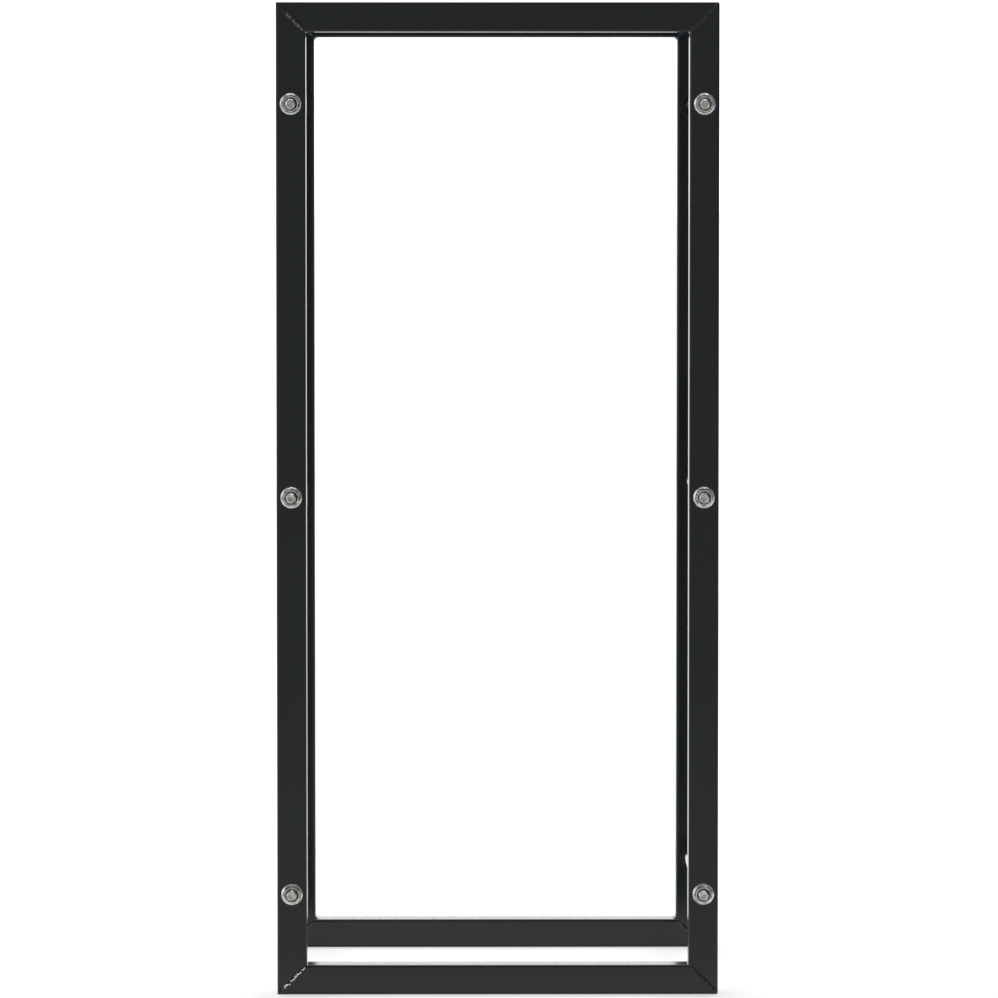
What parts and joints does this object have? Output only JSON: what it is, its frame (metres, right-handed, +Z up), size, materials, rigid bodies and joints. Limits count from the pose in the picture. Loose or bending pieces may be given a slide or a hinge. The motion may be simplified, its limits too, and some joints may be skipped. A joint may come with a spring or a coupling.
{
  "type": "firewood log rack",
  "caption": "Tall open firewood rack: two welded rectangular frames of square steel tube joined front to back by bolted round spacer tubes.",
  "frame": {"origin": "on the floor, in the middle of the rack's footprint", "axes": "+X to the right seen from the front, -Y the front, +Z up"},
  "size_m": [0.445, 0.4266, 1],
  "materials": {
    "black_powder_coat": "satin black powder coat with a fine grain",
    "zinc_plate": "bright zinc plate, slightly warm and scuffed by the spanner"
  },
  "bodies": {
    "root": {"front_bottom_left_weld": "black_powder_coat", "front_bottom_rail": "black_powder_coat", "front_bottom_right_weld": "black_powder_coat", "front_left_bottom_nut": "zinc_plate", "front_left_middle_nut": "zinc_plate", "front_left_top_nut": "zinc_plate", "front_left_upright": "black_powder_coat", "front_right_bottom_nut": "zinc_plate", "front_right_middle_nut": "zinc_plate", "front_right_top_nut": "zinc_plate", "front_right_upright": "black_powder_coat", "front_top_left_weld": "black_powder_coat", "front_top_rail": "black_powder_coat", "front_top_right_weld": "black_powder_coat", "left_bottom_spacer_tube": "black_powder_coat", "left_bottom_tie_rod": "zinc_plate", "left_middle_spacer_tube": "black_powder_coat", "left_middle_tie_rod": "zinc_plate", "left_top_spacer_tube": "black_powder_coat", "left_top_tie_rod": "zinc_plate", "rear_bottom_left_weld": "black_powder_coat", "rear_bottom_rail": "black_powder_coat", "rear_bottom_right_weld": "black_powder_coat", "rear_left_bottom_nut": "zinc_plate", "rear_left_middle_nut": "zinc_plate", "rear_left_top_nut": "zinc_plate", "rear_left_upright": "black_powder_coat", "rear_right_bottom_nut": "zinc_plate", "rear_right_middle_nut": "zinc_plate", "rear_right_top_nut": "zinc_plate", "rear_right_upright": "black_powder_coat", "rear_top_left_weld": "black_powder_coat", "rear_top_rail": "black_powder_coat", "rear_top_right_weld": "black_powder_coat", "right_bottom_spacer_tube": "black_powder_coat", "right_bottom_tie_rod": "zinc_plate", "right_middle_spacer_tube": "black_powder_coat", "right_middle_tie_rod": "zinc_plate", "right_top_spacer_tube": "black_powder_coat", "right_top_tie_rod": "zinc_plate"}
  },
  "joints": []
}
